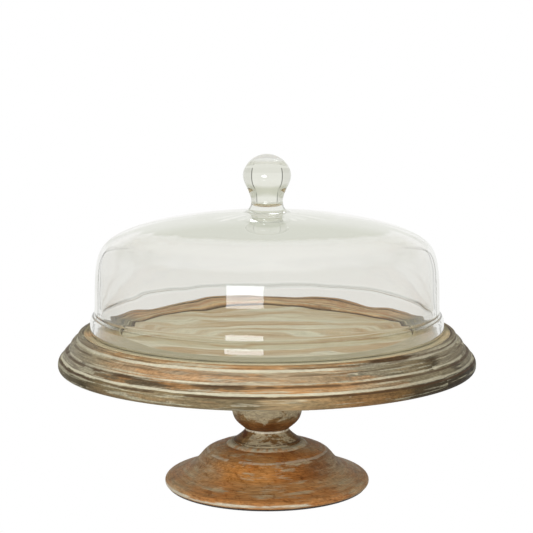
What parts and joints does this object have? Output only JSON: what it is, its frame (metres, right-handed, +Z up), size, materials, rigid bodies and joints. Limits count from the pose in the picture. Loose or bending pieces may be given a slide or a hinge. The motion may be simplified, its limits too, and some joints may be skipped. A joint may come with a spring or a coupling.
{
  "type": "cake stand dome",
  "caption": "Round turned wooden cake stand with a moulded rim and a lift-off clear glass dome with a ball knob.",
  "frame": {"origin": "centre of the felt pad's underside, on the table", "axes": "+Z up along the axis that plate, stem, foot and dome share; the plate's boards run along X"},
  "size_m": [0.3492, 0.3494, 0.2798],
  "materials": {
    "plate_wood": "whitewashed, satin",
    "stem_wood": "whitewashed, satin",
    "foot_wood": "whitewashed, satin",
    "bolt_steel": "zinc plated",
    "insert_brass": "as machined",
    "felt": "pressed felt",
    "clear_glass": "clear, polished"
  },
  "bodies": {
    "stand": {"plate_board_front": "plate_wood", "plate_board_mid_front": "plate_wood", "plate_board_centre": "plate_wood", "plate_board_mid_back": "plate_wood", "plate_board_back": "plate_wood", "stem": "stem_wood", "foot": "foot_wood", "tie_bolt": "bolt_steel", "bolt_washer": "bolt_steel", "threaded_insert": "insert_brass", "felt_pad": "felt"},
    "dome": {"glass_dome": "clear_glass", "glass_knob": "clear_glass"}
  },
  "joints": [
    {"name": "dome_lift", "type": "slide", "parent": "stand", "child": "dome", "axis": [0, 0, 1], "range_m": [0, 0.16]}
  ]
}
